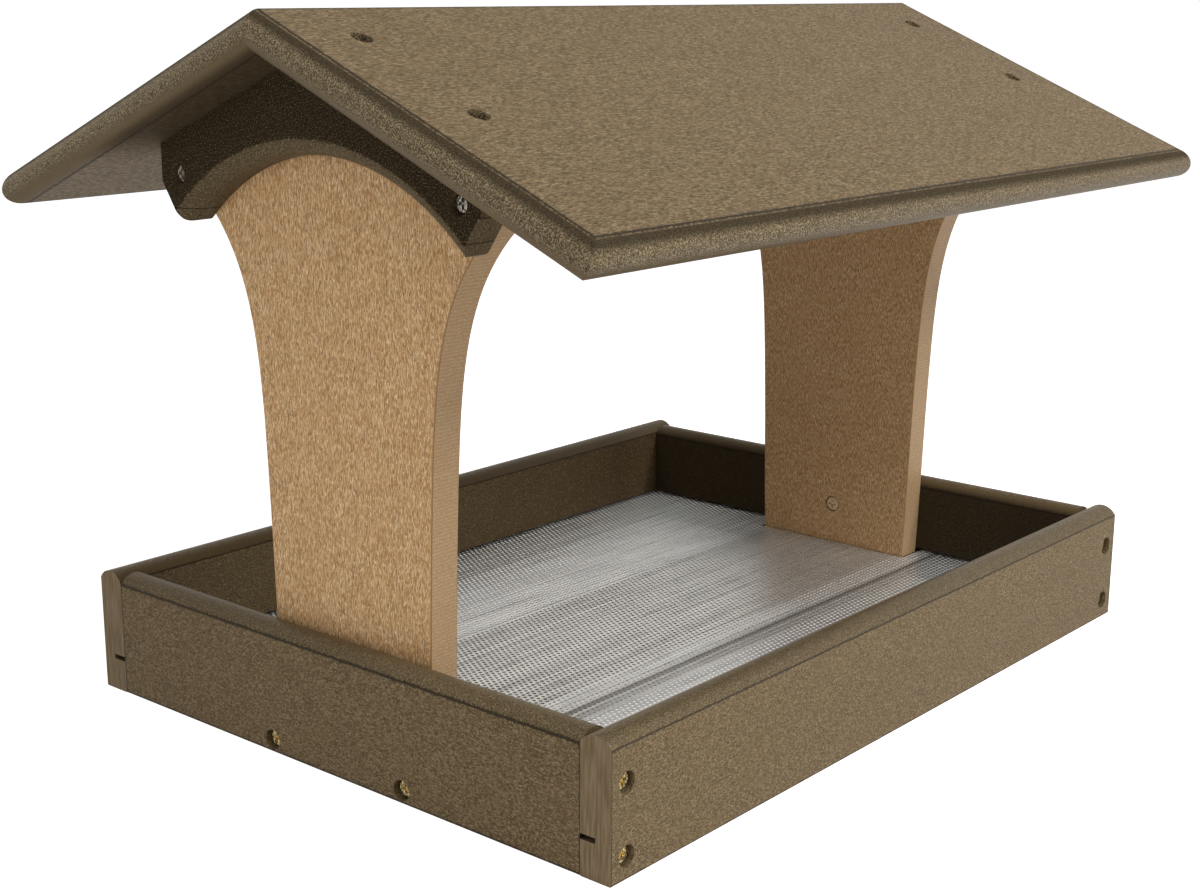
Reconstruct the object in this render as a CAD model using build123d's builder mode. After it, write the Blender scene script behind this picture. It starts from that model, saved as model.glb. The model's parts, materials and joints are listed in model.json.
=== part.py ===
from build123d import *
from math import cos, radians, sin, tan
import os

os.makedirs("parts", exist_ok=True)

# Platform bird feeder of recycled plastic boards: an open tray with a perforated screen floor,
# two flared uprights, two arched gable plates and a two panel roof, all held by wood screws.
# Frame: the origin is on the underside of the tray at its middle, X runs along the ridge,
# -Y is the front and +Z is up. Every length is in millimetres and every angle in degrees.

# Board stock, milled once for the whole feeder
board = 15.9
crown_rise = 4.5
edge_ease = 0.6

# Tray
tray_length = 430.0
tray_width = 327.0
side_wall = 61.0
end_wall = 60.0

# Screen, here with far fewer and larger gaps than the perforated sheet
screen_thickness = 0.8
screen_slack = 1.6
screen_edge_gap = 1.0
screen_notch_gap = 1.0
screen_bar = 3.0
groove_depth = 7.9

# Board under the screen that takes the post
mount_board_width = 102.0
post_hole_spacing = 60.0
post_hole_diameter = 5.0
screen_gaps_per_spacing = 3

# Roof
roof_overhang = 30.0
roof_slope = 196.0
roof_pitch = 23.0
ridge_height = 329.0

# Gable plates
plate_width = 195.0
plate_side = 16.8
plate_tip_in = 12.5
plate_tip_drop = 18.5
plate_tip_radius = 3.0
arch_web = 41.6
arch_roundover = 9.5

# Uprights: half the width grows by a plain taper and by a flare that comes in near the head
foot_width = 97.0
neck_taper = 8.0
flare_power = 7.5
flare_height_shares = (0, 0.3, 0.5, 0.65, 0.76, 0.85, 0.92, 0.97, 1)

# Wood screws and their recesses
screw_diameter = 4.0
screw_tip_cover = 2.8
screw_point = 4.0
screw_head_diameter = 8.0
screw_head_height = 2.4
screw_head_edge = 0.7
screw_drive_width = 1.3
screw_drive_span = 4.8
screw_drive_depth = 1.3
screw_gap = 0.05
pilot_spare = 1.0
recess_gap = 0.7
recess_depth = 5.0

# Screw places, each measured from an edge or the middle of the board that it holds
corner_screw_inset = 9.4
corner_screw_low = 10.0
corner_screw_high = 41.0
end_screw_height = 6.0
end_screw_front_inset = 4.0
end_screw_back_inset = 14.0
foot_screw_spacing = 50.0
upright_screw_height = 39.4
plate_screw_inset = 11.5
plate_screw_rise = 4.0
roof_screw_upper = 28.5
roof_screw_inset = 8.4

# How far every cutter runs past what it cuts
overrun = 5.0

# Worked out from the sizes above
half_length = tray_length / 2
half_width = tray_width / 2
inner_length = tray_length - 2 * board
inner_width = tray_width - 2 * board
end_inner_x = half_length - board
upright_inner_x = end_inner_x - board
end_middle_x = half_length - board / 2
upright_middle_x = end_inner_x - board / 2
roof_length = tray_length + 2 * roof_overhang
pitch = radians(roof_pitch)
plate_half = plate_width / 2
foot_half = foot_width / 2


def roof_underside(y):
    """Height of the roof's underside at a distance y from the ridge line."""
    return ridge_height - board / cos(pitch) - abs(y) * tan(pitch)


corner_z = roof_underside(plate_half) - plate_side
tip_y = plate_half - plate_tip_in
tip_z = corner_z - plate_tip_drop
arch_top_z = roof_underside(0) - arch_web
arch_rise = arch_top_z - tip_z
arch_radius = (tip_y**2 + arch_rise**2) / (2 * arch_rise)


# Planes on which a screw enters, each with its normal pointing out of the board
def facing(x, y, z, normal):
    """Plane at a screw's place, normal to the face that the screw enters."""
    return Plane(origin=(x, y, z), z_dir=normal)


def on_roof(x, down):
    """Plane on top of the front roof panel, a distance down the slope from the ridge."""
    return facing(x, -down * cos(pitch), ridge_height - down * sin(pitch), (0, -sin(pitch), cos(pitch)))


def left_of_middle(places):
    """The places that lie on the left half of the feeder."""
    return [place for place in places if place.origin.X < 0]


corner_screws_at = [
    facing(x, -half_width, z, (0, -1, 0))
    for x in (corner_screw_inset - half_length, half_length - corner_screw_inset)
    for z in (corner_screw_low, corner_screw_high)
]
end_screws_at = [
    facing(-half_length, y, end_screw_height, (-1, 0, 0))
    for y in (end_screw_front_inset - mount_board_width / 2, mount_board_width / 2 - end_screw_back_inset)
]
foot_screws_at = [
    facing(-upright_middle_x, y, 0, (0, 0, -1)) for y in (-foot_screw_spacing / 2, foot_screw_spacing / 2)
]
upright_screws_at = [facing(-upright_inner_x, 0, upright_screw_height, (1, 0, 0))]
plate_screws_at = [
    facing(-half_length, y, corner_z + plate_screw_rise, (-1, 0, 0))
    for y in (plate_screw_inset - plate_half, plate_half - plate_screw_inset)
]
roof_screws_at = [
    on_roof(x, down)
    for x in (-end_middle_x, end_middle_x)
    for down in (roof_screw_upper, plate_half / cos(pitch) - roof_screw_inset)
]

# Screw length and hole sizes that every screw shares: a screw joins two boards
screw_length = 2 * board - recess_depth - screw_tip_cover
shank_hole = screw_diameter / 2 + screw_gap
recess_radius = screw_head_diameter / 2 + recess_gap
through_board = board + overrun
flush_recess = screw_head_height


def pilot_depth(recess):
    """Depth of the shank's hole, from the face that the screw enters."""
    return recess + screw_length + pilot_spare


def wall_section(plane, height):
    """Section of a tray wall: crowned top edge and a groove for the screen on the inner face."""
    groove_floor = board - groove_depth
    groove_top = board + screen_thickness + screen_slack
    crown_foot = height - crown_rise
    with BuildSketch(plane) as section:
        with BuildLine():
            Polyline(
                (0, crown_foot),
                (0, 0),
                (board, 0),
                (board, board),
                (groove_floor, board),
                (groove_floor, groove_top),
                (board, groove_top),
                (board, crown_foot),
            )
            ThreePointArc((board, crown_foot), (board / 2, height), (0, crown_foot))
        make_face()
        fillet(section.vertices().group_by(Axis.Y)[0], edge_ease)
    return section.sketch


# Long side walls of the tray
with BuildPart() as side_board_front:
    front_plane = Plane(origin=(-half_length, -half_width, 0), x_dir=(0, 1, 0), z_dir=(1, 0, 0))
    extrude(wall_section(front_plane, side_wall), amount=tray_length)
    with Locations(*corner_screws_at):
        CounterBoreHole(shank_hole, recess_radius, recess_depth, through_board)

side_board_front.part.label = "side_board_front"
export_step(side_board_front.part, "parts/side_board_front.step")

# Short end walls, between the side walls
with BuildPart() as end_board_left:
    end_plane = Plane(origin=(-half_length, inner_width / 2, 0), x_dir=(1, 0, 0), z_dir=(0, -1, 0))
    extrude(wall_section(end_plane, end_wall), amount=inner_width)
    with Locations(*end_screws_at):
        CounterBoreHole(shank_hole, recess_radius, recess_depth, through_board)
    with Locations(*left_of_middle(corner_screws_at)):
        corner_pilots = Hole(shank_hole, pilot_depth(recess_depth))
    mirror(corner_pilots, about=Plane.XZ, mode=Mode.SUBTRACT)
    with Locations(*upright_screws_at):
        Hole(shank_hole, pilot_depth(flush_recess))

end_board_left.part.label = "end_board_left"
export_step(end_board_left.part, "parts/end_board_left.step")

# Mounting board: bullnosed long edges, flush with the underside of the tray
with BuildPart() as mounting_board:
    with BuildSketch(Plane.YZ.offset(-end_inner_x)):
        with Locations((0, board / 2)):
            SlotOverall(mount_board_width, board)
    extrude(amount=inner_length)
    with Locations((0, 0, board)):
        with GridLocations(post_hole_spacing, post_hole_spacing, 2, 2):
            Hole(post_hole_diameter / 2, through_board)
    with Locations(*end_screws_at):
        end_pilots = Hole(shank_hole, pilot_depth(recess_depth))
    mirror(end_pilots, about=Plane.YZ, mode=Mode.SUBTRACT)
    with Locations(*foot_screws_at):
        foot_recesses = CounterBoreHole(shank_hole, recess_radius, recess_depth, through_board)
    mirror(foot_recesses, about=Plane.YZ, mode=Mode.SUBTRACT)

mounting_board.part.label = "mounting_board"
export_step(mounting_board.part, "parts/mounting_board.step")

# Screen: rests on the mounting board and in the grooves, notched round both uprights
screen_length = inner_length + 2 * (groove_depth - screen_edge_gap)
screen_width = inner_width + 2 * (groove_depth - screen_edge_gap)
notch_x = upright_inner_x - screen_notch_gap
notch_reach = screen_length / 2 - notch_x + overrun
gap_pitch = post_hole_spacing / screen_gaps_per_spacing
gap_side = gap_pitch - screen_bar
gap_columns = 2 * int(notch_x / gap_pitch)
gap_rows = 2 * int(inner_width / 2 / gap_pitch)
with BuildPart() as seed_screen:
    with BuildSketch(Plane.XY.offset(board)):
        Rectangle(screen_length, screen_width)
        with GridLocations(2 * notch_x + notch_reach, 0, 2, 1):
            Rectangle(notch_reach, foot_width + 2 * screen_notch_gap, mode=Mode.SUBTRACT)
        with GridLocations(gap_pitch, gap_pitch, gap_columns, gap_rows):
            Rectangle(gap_side, gap_side, mode=Mode.SUBTRACT)
    extrude(amount=screen_thickness)

seed_screen.part.label = "seed_screen"
export_step(seed_screen.part, "parts/seed_screen.step")


def upright_half_width(share):
    """Half the upright's width at a share of the height from its foot to its head's corner."""
    flare = plate_half - foot_half - neck_taper
    return foot_half + neck_taper * share + flare * share**flare_power


# Uprights: flared boards that stand on the mounting board and carry the roof
flare_points = [
    (upright_half_width(share), board + share * (corner_z - board)) for share in flare_height_shares
]
with BuildPart() as upright_left:
    with BuildSketch(Plane.YZ.offset(-end_inner_x)):
        with BuildLine():
            Line((0, board), (foot_half, board))
            Spline(*flare_points)
            Line((plate_half, corner_z), (plate_half, roof_underside(plate_half)))
            Line((plate_half, roof_underside(plate_half)), (0, roof_underside(0)))
            mirror(about=Plane.YZ)
        make_face()
    extrude(amount=board)
    fillet(upright_left.edges().filter_by(GeomType.BSPLINE), edge_ease)
    with Locations(*upright_screws_at):
        CounterBoreHole(shank_hole, recess_radius, flush_recess, through_board)
    with Locations(*foot_screws_at, *plate_screws_at):
        Hole(shank_hole, pilot_depth(recess_depth))

upright_left.part.label = "upright_left"
export_step(upright_left.part, "parts/upright_left.step")

# Gable plates: an arch with a rolled front edge, clipped lower corners and a pitched top
with BuildPart() as gable_plate_left:
    with BuildSketch(Plane.YZ.offset(-half_length)) as plate_face:
        with BuildLine():
            Polyline(
                (-tip_y, tip_z),
                (-plate_half, corner_z),
                (-plate_half, roof_underside(plate_half)),
                (0, roof_underside(0)),
                (plate_half, roof_underside(plate_half)),
                (plate_half, corner_z),
                (tip_y, tip_z),
            )
            ThreePointArc((tip_y, tip_z), (0, arch_top_z), (-tip_y, tip_z))
        make_face()
        fillet(plate_face.vertices().group_by(Axis.Y)[0], plate_tip_radius)
    extrude(amount=board)
    fillet(gable_plate_left.faces().filter_by(Axis.X).edges(), edge_ease)
    with BuildSketch(Plane.XZ):
        with Locations((-half_length, arch_top_z)):
            Rectangle(2 * arch_roundover, 2 * arch_roundover)
        with Locations((arch_roundover - half_length, arch_top_z + arch_roundover)):
            Circle(arch_roundover, mode=Mode.SUBTRACT)
    revolve(axis=Axis((0, 0, arch_top_z - arch_radius), (1, 0, 0)), mode=Mode.SUBTRACT)
    with Locations(*plate_screws_at):
        CounterBoreHole(shank_hole, recess_radius, recess_depth, through_board)
    with Locations(*left_of_middle(roof_screws_at)):
        roof_pilots = Hole(shank_hole, pilot_depth(recess_depth))
    mirror(roof_pilots, about=Plane.XZ, mode=Mode.SUBTRACT)

gable_plate_left.part.label = "gable_plate_left"
export_step(gable_plate_left.part, "parts/gable_plate_left.step")

# Roof panels: bullnosed eave and ends that meet in mitres, and a plumb cut at the ridge
down_slope = (0, -cos(pitch), -sin(pitch))
with BuildPart() as roof_panel_front:
    with BuildSketch(Plane(origin=(0, 0, ridge_height), x_dir=(1, 0, 0), z_dir=down_slope).offset(-board)):
        with Locations((0, -board / 2)):
            SlotOverall(roof_length, board)
    extrude(amount=board + roof_slope)
    with BuildSketch(Plane(origin=(-roof_length / 2, 0, ridge_height), x_dir=down_slope, z_dir=(1, 0, 0))):
        with Locations(((roof_slope - board) / 2, board / 2)):
            SlotOverall(roof_slope + board, board)
    extrude(amount=roof_length, mode=Mode.INTERSECT)
    split(bisect_by=Plane.XZ)
    with Locations(*roof_screws_at):
        CounterBoreHole(shank_hole, recess_radius, recess_depth, through_board)

roof_panel_front.part.label = "roof_panel_front"
export_step(roof_panel_front.part, "parts/roof_panel_front.step")

# Twins of the boards on the other side of the feeder
twin_boards = [
    (side_board_front, "side_board_back", Plane.XZ),
    (end_board_left, "end_board_right", Plane.YZ),
    (upright_left, "upright_right", Plane.YZ),
    (gable_plate_left, "gable_plate_right", Plane.YZ),
    (roof_panel_front, "roof_panel_back", Plane.XZ),
]
for first, twin_name, across in twin_boards:
    with BuildPart() as twin:
        mirror(first.part, about=across)
    twin.part.label = twin_name
    export_step(twin.part, f"parts/{twin_name}.step")

# Wood screw: the seat of its rounded head is at the origin and its point is down
with BuildPart() as wood_screw:
    with BuildSketch(Plane.XZ) as screw_profile:
        with BuildLine():
            Polyline(
                (0, screw_head_height),
                (screw_head_diameter / 2, screw_head_height),
                (screw_head_diameter / 2, 0),
                (screw_diameter / 2, 0),
                (screw_diameter / 2, screw_point - screw_length),
                (0, -screw_length),
                (0, screw_head_height),
            )
        make_face()
        fillet(screw_profile.vertices().group_by(Axis.Y)[-1].sort_by(Axis.X)[-1], screw_head_edge)
    revolve(axis=Axis.Z)
    with BuildSketch(Plane.XY.offset(screw_head_height)):
        Rectangle(screw_drive_span, screw_drive_width)
        Rectangle(screw_drive_width, screw_drive_span)
    extrude(amount=-screw_drive_depth, mode=Mode.SUBTRACT)

# Screws, one node for each group that holds the same board, and its twin across the feeder
screw_groups = [
    ("corner_screws_front", "corner_screws_back", Plane.XZ, corner_screws_at, recess_depth),
    ("end_screws_left", "end_screws_right", Plane.YZ, end_screws_at, recess_depth),
    ("foot_screws_left", "foot_screws_right", Plane.YZ, foot_screws_at, recess_depth),
    ("upright_screw_left", "upright_screw_right", Plane.YZ, upright_screws_at, flush_recess),
    ("gable_screws_left", "gable_screws_right", Plane.YZ, plate_screws_at, recess_depth),
    ("roof_screws_front", "roof_screws_back", Plane.XZ, roof_screws_at, recess_depth),
]
for group_name, twin_name, across, places, recess in screw_groups:
    with BuildPart() as screws:
        with Locations(*[place.offset(-recess) for place in places]):
            add(wood_screw.part)
    with BuildPart() as twin_screws:
        mirror(screws.part, about=across)
    screws.part.label = group_name
    twin_screws.part.label = twin_name
    export_step(screws.part, f"parts/{group_name}.step")
    export_step(twin_screws.part, f"parts/{twin_name}.step")
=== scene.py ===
"""Post mounted bird feeder: board finishes, perforated seed screen, screws, soft light and camera.

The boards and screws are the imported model's own pieces. They get their finish here: pressed plastic board
with flecks along its length, routed edges and sawn ends. The seed screen is built here, hole by hole, in the
place of the plain net. The sizes and colours that a maker would change are in the sidebar, under Feeder.
"""

import json
import math
from collections import namedtuple

import bpy
import numpy as np
from bpy.props import FloatProperty, FloatVectorProperty, PointerProperty
from mathutils import Matrix, Vector


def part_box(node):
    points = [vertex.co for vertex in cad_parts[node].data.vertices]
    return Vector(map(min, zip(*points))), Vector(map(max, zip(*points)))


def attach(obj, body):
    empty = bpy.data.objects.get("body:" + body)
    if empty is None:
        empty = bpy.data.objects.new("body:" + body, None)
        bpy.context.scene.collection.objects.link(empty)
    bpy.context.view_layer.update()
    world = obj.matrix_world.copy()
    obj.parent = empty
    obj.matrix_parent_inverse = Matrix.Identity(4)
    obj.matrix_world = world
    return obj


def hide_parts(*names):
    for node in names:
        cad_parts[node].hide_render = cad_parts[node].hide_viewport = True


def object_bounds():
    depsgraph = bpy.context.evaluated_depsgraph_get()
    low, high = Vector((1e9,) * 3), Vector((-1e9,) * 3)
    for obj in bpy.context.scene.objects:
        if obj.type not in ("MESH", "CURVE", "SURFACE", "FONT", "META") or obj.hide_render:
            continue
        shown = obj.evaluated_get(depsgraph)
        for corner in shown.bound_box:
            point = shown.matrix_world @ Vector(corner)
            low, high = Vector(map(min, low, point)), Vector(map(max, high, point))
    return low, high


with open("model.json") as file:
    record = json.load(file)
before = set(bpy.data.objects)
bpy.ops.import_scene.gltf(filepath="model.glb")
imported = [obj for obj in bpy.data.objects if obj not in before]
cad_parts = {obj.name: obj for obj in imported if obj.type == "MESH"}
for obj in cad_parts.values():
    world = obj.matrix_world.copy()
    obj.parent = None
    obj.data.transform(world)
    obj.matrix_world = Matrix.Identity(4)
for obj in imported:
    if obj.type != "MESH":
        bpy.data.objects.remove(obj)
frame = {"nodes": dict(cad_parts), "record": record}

bl_info = {
    "name": "Post Mounted Bird Feeder",
    "version": (1, 0, 0),
    "blender": (4, 5, 0),
    "location": "3D View > Sidebar > Feeder",
    "description": "Finishes the boards and screws of a bird feeder, builds its screen and lights it",
    "category": "Object",
}

MILLIMETRE = 0.001
BODY = "root"

# Directions in the feeder's frame: along the ridge, across it and up
RIDGE = Vector((1.0, 0.0, 0.0))
ACROSS = Vector((0.0, 1.0, 0.0))
UP = Vector((0.0, 0.0, 1.0))

# How each board is laid and worked: which way its flecks run, which way its moulded face looks (None is
# found from its widest face), how drawn out the flecks are, how wide the ragged line round its face is, how
# smooth its routed edges are, how far its face is milled rough, how dark that milling is with dirt and
# painted shade, how much painted shade darkens its edges next to the face, whether its ends are sawn, whether
# the ragged line follows its eased edges, how much painted shade darkens its inner face, how much painted
# shade darkens its underside up at the ridge, and how much the whole of it shines
Board = namedtuple("Board", "flecks face stretch rim smooth milled dirt brow sawn eased inner shade gloss",
                   defaults=(0.0,) * 8 + (0.3,))
SIDE = Board(RIDGE, ACROSS, stretch=0.5, rim=0.7, smooth=0.5, sawn=1.0)
END = Board(ACROSS, RIDGE, stretch=0.6, rim=1.2, smooth=0.5, inner=0.85, gloss=0.2)
GABLE = Board(ACROSS, RIDGE, stretch=0.3, rim=0.4, smooth=0.55, milled=0.95, dirt=0.95, gloss=0.05)
ROOF = Board(RIDGE, None, stretch=1.0, rim=1.5, brow=0.85, shade=0.75, gloss=0.25)
UPRIGHT = Board(UP, RIDGE, stretch=1.0, rim=1.0, smooth=0.5, eased=1.0)
BOARDS = {
    "side_board_front": SIDE._replace(face=-ACROSS),
    "side_board_back": SIDE,
    "end_board_left": END._replace(face=-RIDGE),
    "end_board_right": END,
    "mounting_board": SIDE._replace(face=UP, sawn=0.0),
    "gable_plate_left": GABLE._replace(face=-RIDGE),
    "gable_plate_right": GABLE,
    "roof_panel_front": ROOF,
    "roof_panel_back": ROOF,
    "upright_left": UPRIGHT,
    "upright_right": UPRIGHT,
}
UPRIGHTS = ("upright_left", "upright_right")

# The roof's underside goes from light to dark between these two heights: painted shade under the ridge
RIDGE_SHADE = (0.260, 0.278)

# Masks rise between these two shares of a face's normal in a way: for a face that is flat, for the two sides
# of an eased edge, for the far side of a routed edge (lighter, partly a painted highlight) and its near side
# (painted shade), and for a face that looks inward (painted shade)
FLAT_TURN = (0.94, 0.985)
EASED_TURN = (0.97, 0.8)
EASED_EDGE_TURN = (0.1, 0.4)
FAR_TURN = (-0.1, -0.6)
BROW_TURN = (0.45, 0.85)
INWARD_TURN = (-0.5, -0.95)

# How much of the face's colour a routed edge's far side has, a lighter colour that is partly a painted
# highlight, and how much of its pale crumbs a face darkened by dirt and painted shade shows
FAR_SHARE = 0.75
DIRT_AND_SHADE_GLINT_SHARE = 0.28

# The ragged line's least and greatest width and its fully dark core, as shares of its width
RIM_WIDTH_SHARES = (0.4, 1.6)
RIM_CORE_SHARE = 0.4

# The value at which three_colours gives its middle colour
MIDDLE = 0.5

# The corners of a board that lie this near its outermost plane are on its flat face
FACE_SKIN = 0.05 * MILLIMETRE

# How many saw marks there are to a metre along the flecks, up a sawn end and through the board
SAW_MARKS = Vector((0.0, 60.0, 900.0))

# A noise's scale, how many finer layers it has and how strong they are, the two values between which its mask
# rises, and how far it is moved so that it follows no other noise of the same place
Noise = namedtuple("Noise", "scale detail roughness low high shift", defaults=(0.0, 1.0, None))
GRAIN = Noise(1.1, 3.0, 0.7, 0.34, 0.66)
PALE_FLECKS = Noise(1.0, 1.0, 0.5, 0.6, 0.66, (37.0, 11.0, 53.0))
DARK_FLECKS = Noise(0.8, 2.0, 0.5, 0.58, 0.68, (83.0, 29.0, 7.0))
PATCHES = Noise(60.0, 3.0, 0.6, 0.3, 0.7)
CRUMBS = Noise(1.0, 3.0, 0.7, 0.34, 0.66)
GLINTS = Noise(0.9, 1.0, 0.5, 0.55, 0.65, (19.0, 71.0, 5.0))
CUTTER_DRIFT = Noise(250.0, 2.0, 0.5)
RAGGED_RIM = Noise(900.0, 4.0, 0.7, 0.35, 0.7)
SAW_STROKES = Noise(1.0, 2.0, 0.5, 0.35, 0.65)
SHEET_STREAKS = Noise(1.0, 3.0, 0.65, 0.42, 0.68)
SHEET_CLOUDS = Noise(40.0, 4.0, 0.65, 0.4, 0.65)
DULL_ZINC = Noise(900.0, 3.0, 0.6, 0.45, 0.6)
PAINT_CHIPS = Noise(900.0, 3.0, 0.6, 0.6, 0.68)

# The Mix node's inputs, the share and the two that it mixes, and its output, for each kind of value
MIX_SOCKETS = {"FLOAT": (0, 2, 3, 0), "VECTOR": (0, 4, 5, 1), "RGBA": (0, 6, 7, 2)}

WHITE = (1.0, 1.0, 1.0, 1.0)

# Where each light stands, by the word that its name and its power's setting begin with
LAMPS = {
    "key": (0.3, -1.5, 1.6),
    "top": (-0.8, 0.5, 2.0),
    "side": (-1.4, -0.9, 1.6),
    "left": (-2.0, -0.4, 0.6),
    "low": (0.2, -2.0, 0.5),
}

CAD_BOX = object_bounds()


class Graph:
    """Adds nodes to one node tree, with short calls that give back the new node's output."""

    # The sheet's column width and row height, and how many nodes stand in a column
    column = 190
    row = 170
    rows = 6

    def __init__(self, tree):
        self.tree = tree
        tree.nodes.clear()

    def node(self, kind, **settings):
        """A new node with these settings, placed in the next free spot of the sheet."""
        count = len(self.tree.nodes)
        made = self.tree.nodes.new(kind)
        made.location = (count // self.rows * self.column, -(count % self.rows) * self.row)
        for name, value in settings.items():
            setattr(made, name, value)
        return made

    def feed(self, socket, value):
        """Links a socket to the input, or sets it to the plain value."""
        if isinstance(value, bpy.types.NodeSocket):
            self.tree.links.new(value, socket)
        else:
            socket.default_value = value

    def feed_all(self, node, values):
        """Feeds a node's inputs by name."""
        for name, value in values.items():
            self.feed(node.inputs[name], value)
        return node

    def place(self):
        """The point of the surface, in the feeder's frame."""
        return self.node("ShaderNodeTexCoord").outputs["Object"]

    def show(self, shader, kind="ShaderNodeOutputMaterial"):
        """Links the shader to a new output."""
        self.feed(self.node(kind).inputs["Surface"], shader.outputs[0])

    def math(self, operation, *values):
        made = self.node("ShaderNodeMath", operation=operation)
        for socket, value in zip(made.inputs, values):
            self.feed(socket, value)
        return made.outputs[0]

    def times(self, first, second):
        return self.math("MULTIPLY", first, second)

    def other(self, share):
        """What the share leaves of one."""
        return self.math("SUBTRACT", 1.0, share)

    def vector(self, operation, *values):
        made = self.node("ShaderNodeVectorMath", operation=operation)
        for socket, value in zip(made.inputs, values):
            self.feed(socket, value)
        return made.outputs["Value" if operation in {"DOT_PRODUCT", "LENGTH"} else "Vector"]

    def noise(self, vector, kind):
        """A noise of the place, moved by its shift if it has one."""
        if kind.shift:
            vector = self.vector("ADD", vector, kind.shift)
        made = self.node("ShaderNodeTexNoise")
        self.feed_all(made, {"Vector": vector, "Scale": kind.scale, "Detail": kind.detail,
                             "Roughness": kind.roughness})
        return made.outputs[0]

    def spots(self, vector, kind):
        """Where a noise stands out: its smooth step between its two values."""
        return self.step(self.noise(vector, kind), kind.low, kind.high)

    def clouds(self, vector, kind):
        """A noise's place between its two values, from 0 to 1."""
        return self.ramp(self.noise(vector, kind), kind.low, kind.high)

    def step(self, value, low, high, first=0.0, last=1.0):
        """A smooth step of the value from first, at low, to last, at high."""
        made = self.node("ShaderNodeMapRange", interpolation_type="SMOOTHSTEP")
        inputs = {"Value": value, "From Min": low, "From Max": high, "To Min": first, "To Max": last}
        return self.feed_all(made, inputs).outputs[0]

    def ramp(self, value, low, high):
        """The value's place between low and high, from 0 to 1."""
        made = self.node("ShaderNodeMapRange")
        return self.feed_all(made, {"Value": value, "From Min": low, "From Max": high}).outputs[0]

    def three_colours(self, value, low, middle, high):
        """One colour at 0, the next at a half and the last at 1."""
        return self.mix_colour(
            self.ramp(value, MIDDLE, 1.0), self.mix_colour(self.ramp(value, 0.0, MIDDLE), low, middle), high)

    def mix(self, kind, *values):
        """A mix by a share of two values, vectors or colours."""
        made = self.node("ShaderNodeMix", data_type=kind)
        *inputs, output = MIX_SOCKETS[kind]
        for place, value in zip(inputs, values):
            self.feed(made.inputs[place], value)
        return made.outputs[output]

    def mix_colour(self, share, first, second):
        return self.mix("RGBA", share, first, second)

    def mix_value(self, share, first, second):
        return self.mix("FLOAT", share, first, second)

    def bump(self, height, depth, strength):
        """The surface's normal, tilted by a relief of this depth. Depth and strength are plain numbers."""
        made = self.node("ShaderNodeBump")
        self.feed_all(made, {"Height": height, "Distance": depth, "Strength": strength})
        return made.outputs[0]

    def join(self, x, y, z):
        made = self.node("ShaderNodeCombineXYZ")
        for socket, value in zip(made.inputs, (x, y, z)):
            self.feed(socket, value)
        return made.outputs[0]

    def split(self, vector):
        made = self.node("ShaderNodeSeparateXYZ")
        self.feed(made.inputs[0], vector)
        return made.outputs

    def use(self, group, **values):
        """Places a node group and feeds its inputs. Underscores in a name stand for spaces."""
        made = self.node("ShaderNodeGroup", node_tree=group)
        self.feed_all(made, {name.replace("_", " "): value for name, value in values.items()})
        return made.outputs


def new_group(name, inputs, outputs):
    """A shader node group with these inputs, name to default, and outputs, name to kind."""
    tree = bpy.data.node_groups.new(name, "ShaderNodeTree")
    kinds = {float: "NodeSocketFloat", Vector: "NodeSocketVector"}
    for label, default in inputs.items():
        socket = tree.interface.new_socket(label, in_out="INPUT", socket_type=kinds[type(default)])
        socket.default_value = default
    for label, kind in outputs.items():
        tree.interface.new_socket(label, in_out="OUTPUT", socket_type=kinds[kind])
    graph = Graph(tree)
    return graph, graph.node("NodeGroupInput").outputs, graph.node("NodeGroupOutput").inputs


def board_axes_group():
    """Board Axes: a point in the board's own axes, and masks of its sawn and routed faces.

    The point is measured along the flecks, across them, and through the thickness. A face is sawn where its
    normal is along the flecks, routed where its normal is neither along the thickness nor sawn. Turn is 1 on
    the moulded face that looks the face way, 0 on its edges and -1 underneath. Eased is the narrow rounding
    between the two, where the size of the turn is neither near 1 nor near 0.
    """
    graph, given, result = new_group(
        "Board Axes",
        {"Point": Vector(), "Normal": Vector(), "Fleck Way": RIDGE, "Face Way": UP, "Sawn Ends": 0.0},
        {"Board Point": Vector, "Sawn": float, "Routed": float, "Turn": float, "Eased": float},
    )
    sideways = graph.vector("CROSS_PRODUCT", given["Face Way"], given["Fleck Way"])
    parts = [
        graph.vector("DOT_PRODUCT", given["Point"], way)
        for way in (given["Fleck Way"], sideways, given["Face Way"])
    ]
    graph.feed(result["Board Point"], graph.join(*parts))
    turn = graph.vector("DOT_PRODUCT", given["Normal"], given["Face Way"])
    lean = graph.math("ABSOLUTE", turn)
    moulded = graph.step(lean, *FLAT_TURN)
    end_on = graph.math("ABSOLUTE", graph.vector("DOT_PRODUCT", given["Normal"], given["Fleck Way"]))
    sawn = graph.times(graph.step(end_on, *FLAT_TURN), given["Sawn Ends"])
    graph.feed(result["Sawn"], sawn)
    graph.feed(result["Routed"], graph.math("SUBTRACT", graph.other(moulded), sawn))
    graph.feed(result["Turn"], turn)
    eased = graph.times(graph.step(lean, *EASED_TURN), graph.step(lean, *EASED_EDGE_TURN))
    graph.feed(result["Eased"], eased)
    return graph.tree


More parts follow.
